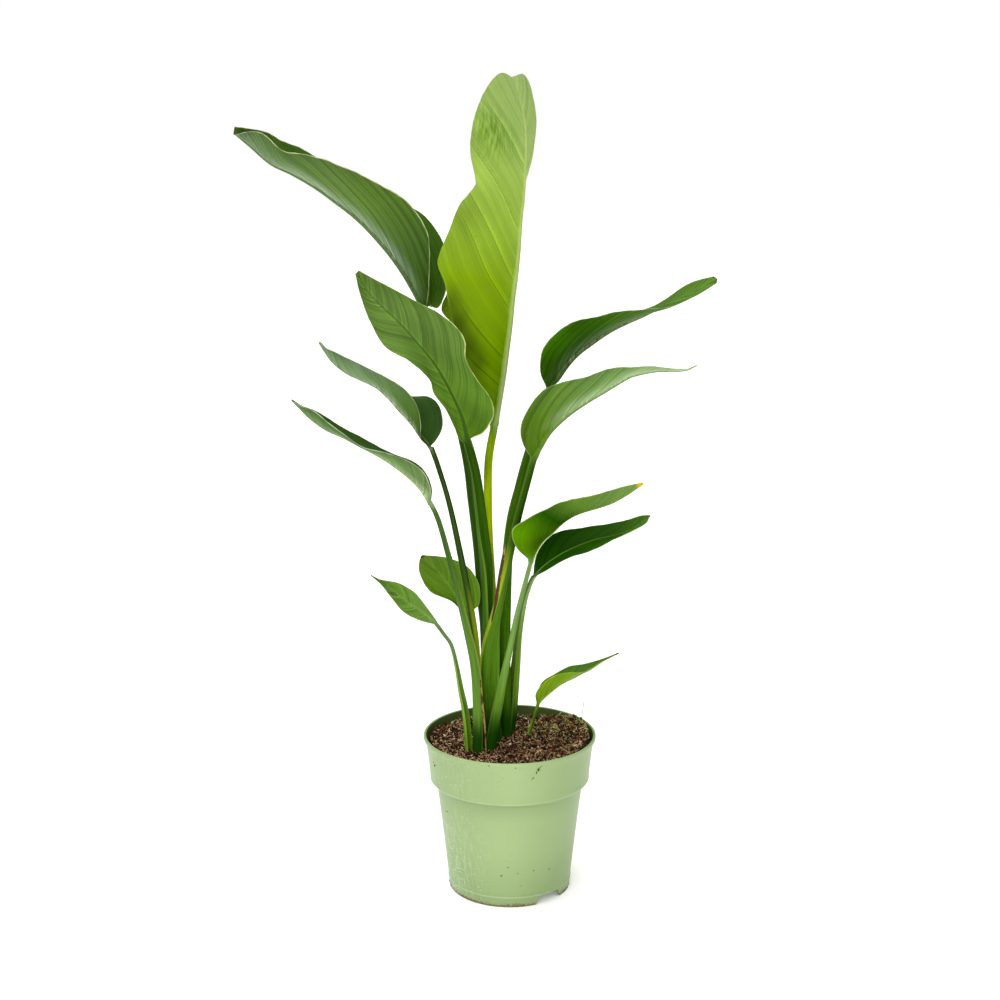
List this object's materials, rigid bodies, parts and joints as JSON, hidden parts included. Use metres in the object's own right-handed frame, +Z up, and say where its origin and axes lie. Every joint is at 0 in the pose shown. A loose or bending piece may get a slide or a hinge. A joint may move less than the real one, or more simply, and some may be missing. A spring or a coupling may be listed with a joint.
{
  "type": "potted bird of paradise plant",
  "caption": "Tall potted foliage plant: upright stalks with paddle-shaped folded leaves fanning to both sides, in a tapered nursery pot filled with peat soil.",
  "frame": {"origin": "centre of the pot's flat base pad, on the floor, on the pot's axis", "axes": "+Z up along the pot's axis, +X to the right and +Y away from the side the plant is seen from; the leaves fan out along X"},
  "size_m": [0.5558, 0.21, 0.9753],
  "materials": {
    "pot": "pale sage green injection-moulded polypropylene, slightly dusty",
    "soil": "loose damp peat with fibres and a few white perlite grains",
    "leaf": "waxy dark green leaf, satin sheen, fine cross veins",
    "young_leaf": "waxy young lime green leaf, satin sheen"
  },
  "bodies": {
    "root": {"pot": "pot", "soil": "soil", "leaf_centre": "young_leaf", "leaf_upper_left": "leaf", "leaf_front_left": "leaf", "leaf_upper_right": "leaf", "leaf_right": "leaf", "leaf_mid_left": "leaf", "leaf_low_left": "leaf", "leaf_small_back": "leaf", "leaf_seedling_left": "leaf", "leaf_low_right_front": "young_leaf", "leaf_low_right_back": "leaf", "leaf_seedling_right": "young_leaf"}
  },
  "joints": []
}
